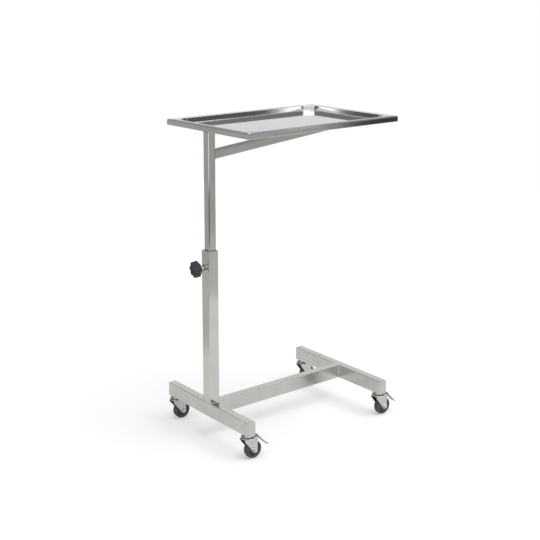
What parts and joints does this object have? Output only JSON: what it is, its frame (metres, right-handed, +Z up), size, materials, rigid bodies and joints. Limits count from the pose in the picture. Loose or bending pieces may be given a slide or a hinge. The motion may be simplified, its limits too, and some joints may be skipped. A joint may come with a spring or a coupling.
{
  "type": "mayo instrument stand",
  "caption": "Rolling instrument stand: H-shaped tube base on braked castors, telescoping square column with star knob, cantilevered frame holding a lift-off steel tray.",
  "frame": {"origin": "on the floor, under the middle of the stand's bounding box", "axes": "+X from the column towards the far rail, the way the tray overhangs; +Y along the base rails; +Z up"},
  "size_m": [0.7404, 0.46, 1.08],
  "materials": {
    "tube_steel": "satin stainless steel",
    "tray_steel": "bright stainless steel",
    "zinc_steel": "zinc plated steel",
    "tyre": "dark grey rubber",
    "hub_plastic": "black plastic",
    "knob_plastic": "black plastic",
    "nylon": "black nylon"
  },
  "bodies": {
    "base": {"column_rail": "tube_steel", "far_rail": "tube_steel", "connecting_bar": "tube_steel", "column_rail_caps": "tube_steel", "far_rail_caps": "tube_steel", "outer_tube": "tube_steel", "guide_bush": "nylon", "clamp_boss": "zinc_steel", "stem_bolts": "zinc_steel", "stem_nuts": "zinc_steel", "swivel_cup_column_front": "zinc_steel", "swivel_cup_column_back": "zinc_steel", "swivel_cup_far_front": "zinc_steel", "swivel_cup_far_back": "zinc_steel"},
    "mast": {"inner_tube": "tube_steel", "mast_glide": "nylon", "brace": "tube_steel", "frame_near_member": "tube_steel", "frame_far_member": "tube_steel", "frame_front_member": "tube_steel", "frame_back_member": "tube_steel"},
    "tray": {"tray": "tray_steel"},
    "clamp_pad": {"clamp_pad": "nylon"},
    "knob": {"clamp_stud": "zinc_steel", "star_knob": "knob_plastic"},
    "swivel_column_front": {"fork_column_front": "zinc_steel", "axle_bolt_column_front": "zinc_steel", "axle_sleeve_column_front": "zinc_steel", "brake_pin_column_front": "zinc_steel"},
    "wheel_column_front": {"wheel_hub_column_front": "hub_plastic", "tyre_column_front": "tyre"},
    "pedal_column_front": {"brake_pedal_column_front": "zinc_steel"},
    "swivel_column_back": {"fork_column_back": "zinc_steel", "axle_bolt_column_back": "zinc_steel", "axle_sleeve_column_back": "zinc_steel", "brake_pin_column_back": "zinc_steel"},
    "wheel_column_back": {"wheel_hub_column_back": "hub_plastic", "tyre_column_back": "tyre"},
    "pedal_column_back": {"brake_pedal_column_back": "zinc_steel"},
    "swivel_far_front": {"fork_far_front": "zinc_steel", "axle_bolt_far_front": "zinc_steel", "axle_sleeve_far_front": "zinc_steel", "brake_pin_far_front": "zinc_steel"},
    "wheel_far_front": {"wheel_hub_far_front": "hub_plastic", "tyre_far_front": "tyre"},
    "pedal_far_front": {"brake_pedal_far_front": "zinc_steel"},
    "swivel_far_back": {"fork_far_back": "zinc_steel", "axle_bolt_far_back": "zinc_steel", "axle_sleeve_far_back": "zinc_steel", "brake_pin_far_back": "zinc_steel"},
    "wheel_far_back": {"wheel_hub_far_back": "hub_plastic", "tyre_far_back": "tyre"},
    "pedal_far_back": {"brake_pedal_far_back": "zinc_steel"}
  },
  "joints": [
    {"name": "mast_height", "type": "slide", "parent": "base", "child": "mast", "axis": [0, 0, 1], "range_m": [-0.3, 0.12]},
    {"name": "tray_lift", "type": "slide", "parent": "mast", "child": "tray", "axis": [0, 0, 1], "range_m": [0, 0.12]},
    {"name": "clamp_advance", "type": "slide", "parent": "base", "child": "clamp_pad", "axis": [1, 0, 0], "range_m": [-0.003, 0]},
    {"name": "knob_turn", "type": "hinge", "parent": "clamp_pad", "child": "knob", "pos_m": [-0.32522, 0, 0.614], "axis": [1, 0, 0], "range_deg": [0, 720]},
    {"name": "swivel_column_front", "type": "hinge", "parent": "base", "child": "swivel_column_front", "pos_m": [-0.31022, -0.207, 0.078], "axis": [0, 0, 1], "continuous": true},
    {"name": "roll_column_front", "type": "hinge", "parent": "swivel_column_front", "child": "wheel_column_front", "pos_m": [-0.28922, -0.207, 0.031], "axis": [0, 1, 0], "continuous": true},
    {"name": "brake_column_front", "type": "hinge", "parent": "swivel_column_front", "child": "pedal_column_front", "pos_m": [-0.28222, -0.207, 0.069], "axis": [0, 1, 0], "range_deg": [0, 18]},
    {"name": "swivel_column_back", "type": "hinge", "parent": "base", "child": "swivel_column_back", "pos_m": [-0.31022, 0.207, 0.078], "axis": [0, 0, 1], "continuous": true},
    {"name": "roll_column_back", "type": "hinge", "parent": "swivel_column_back", "child": "wheel_column_back", "pos_m": [-0.28922, 0.207, 0.031], "axis": [0, 1, 0], "continuous": true},
    {"name": "brake_column_back", "type": "hinge", "parent": "swivel_column_back", "child": "pedal_column_back", "pos_m": [-0.28222, 0.207, 0.069], "axis": [0, 1, 0], "range_deg": [0, 18]},
    {"name": "swivel_far_front", "type": "hinge", "parent": "base", "child": "swivel_far_front", "pos_m": [0.28978, -0.207, 0.078], "axis": [0, 0, 1], "continuous": true},
    {"name": "roll_far_front", "type": "hinge", "parent": "swivel_far_front", "child": "wheel_far_front", "pos_m": [0.31078, -0.207, 0.031], "axis": [0, 1, 0], "continuous": true},
    {"name": "brake_far_front", "type": "hinge", "parent": "swivel_far_front", "child": "pedal_far_front", "pos_m": [0.31778, -0.207, 0.069], "axis": [0, 1, 0], "range_deg": [0, 18]},
    {"name": "swivel_far_back", "type": "hinge", "parent": "base", "child": "swivel_far_back", "pos_m": [0.28978, 0.207, 0.078], "axis": [0, 0, 1], "continuous": true},
    {"name": "roll_far_back", "type": "hinge", "parent": "swivel_far_back", "child": "wheel_far_back", "pos_m": [0.31078, 0.207, 0.031], "axis": [0, 1, 0], "continuous": true},
    {"name": "brake_far_back", "type": "hinge", "parent": "swivel_far_back", "child": "pedal_far_back", "pos_m": [0.31778, 0.207, 0.069], "axis": [0, 1, 0], "range_deg": [0, 18]}
  ],
  "couplings": [
    {"joint": "clamp_advance", "follows": "knob_turn", "m_per_rad": -0.00023873}
  ]
}
